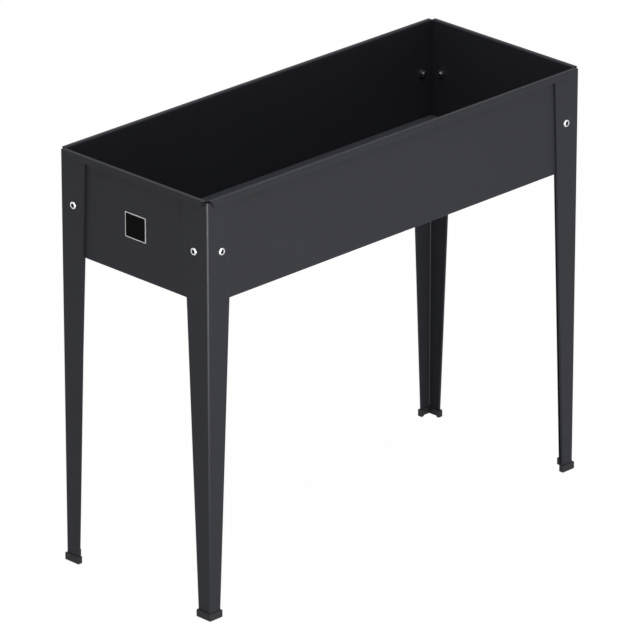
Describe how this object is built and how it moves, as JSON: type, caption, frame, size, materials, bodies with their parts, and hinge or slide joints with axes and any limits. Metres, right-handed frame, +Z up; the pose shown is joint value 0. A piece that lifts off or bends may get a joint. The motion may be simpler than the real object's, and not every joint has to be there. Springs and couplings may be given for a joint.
{
  "type": "raised garden bed",
  "caption": "Trough planter of folded, dark coated sheet steel with a hemmed rim, raised to working height on tapered angle legs bolted at the corners.",
  "frame": {"origin": "on the ground, under the middle of the bed", "axes": "+X along the bed, +Y from its front to its back, +Z up"},
  "size_m": [0.8066, 0.3226, 0.678],
  "materials": {
    "coated_steel": "satin anthracite powder coat with a fine orange peel",
    "black_plastic": "moulded black plastic, finely grained",
    "zinc_steel": "bright zinc plate"
  },
  "bodies": {
    "root": {"floor_panel": "coated_steel", "front_panel": "coated_steel", "back_panel": "coated_steel", "left_end_panel": "coated_steel", "right_end_panel": "coated_steel", "leg_front_left": "coated_steel", "leg_front_right": "coated_steel", "leg_back_right": "coated_steel", "leg_back_left": "coated_steel", "foot_cap_front_left": "black_plastic", "foot_cap_front_right": "black_plastic", "foot_cap_back_right": "black_plastic", "foot_cap_back_left": "black_plastic", "label_plate": "black_plastic", "bolts_front_panel": "zinc_steel", "bolts_back_panel": "zinc_steel", "bolts_left_end_panel": "zinc_steel", "bolts_right_end_panel": "zinc_steel", "nuts_front_panel": "zinc_steel", "nuts_back_panel": "zinc_steel", "nuts_left_end_panel": "zinc_steel", "nuts_right_end_panel": "zinc_steel"}
  },
  "joints": []
}
